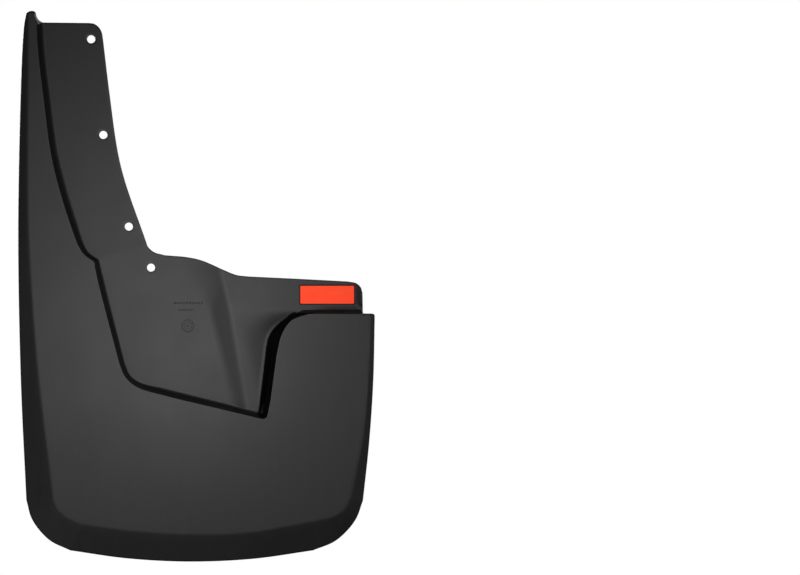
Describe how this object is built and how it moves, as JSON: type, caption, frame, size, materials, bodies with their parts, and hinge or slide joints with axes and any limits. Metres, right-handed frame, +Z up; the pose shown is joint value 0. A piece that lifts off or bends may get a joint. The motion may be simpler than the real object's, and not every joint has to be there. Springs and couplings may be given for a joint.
{
  "type": "mud flap",
  "caption": "Moulded black mud flap for a truck wheel arch: flat screw flange, raised shield with a chamfered border, and an arm with a foam tape pad under a release liner.",
  "frame": {"origin": "on the flat contact face of the leaf, 25.4 mm straight below the centre of the lowest screw hole", "axes": "+Z up along the flange, -Y out of the contact face towards the vehicle body, +X inboard along the taped arm"},
  "size_m": [0.3565, 0.0226, 0.5504],
  "materials": {
    "black_tpo": "fine-grained satin black, as moulded",
    "black_foam": "matt closed-cell foam",
    "red_film": "smooth orange-red film, slightly glossy"
  },
  "bodies": {
    "flap": {"flap_moulding": "black_tpo", "foam_tape": "black_foam"},
    "liner": {"release_liner": "red_film"}
  },
  "joints": [
    {"name": "liner_peel", "type": "slide", "parent": "flap", "child": "liner", "axis": [0, -1, 0], "range_m": [0, 0.04]}
  ]
}
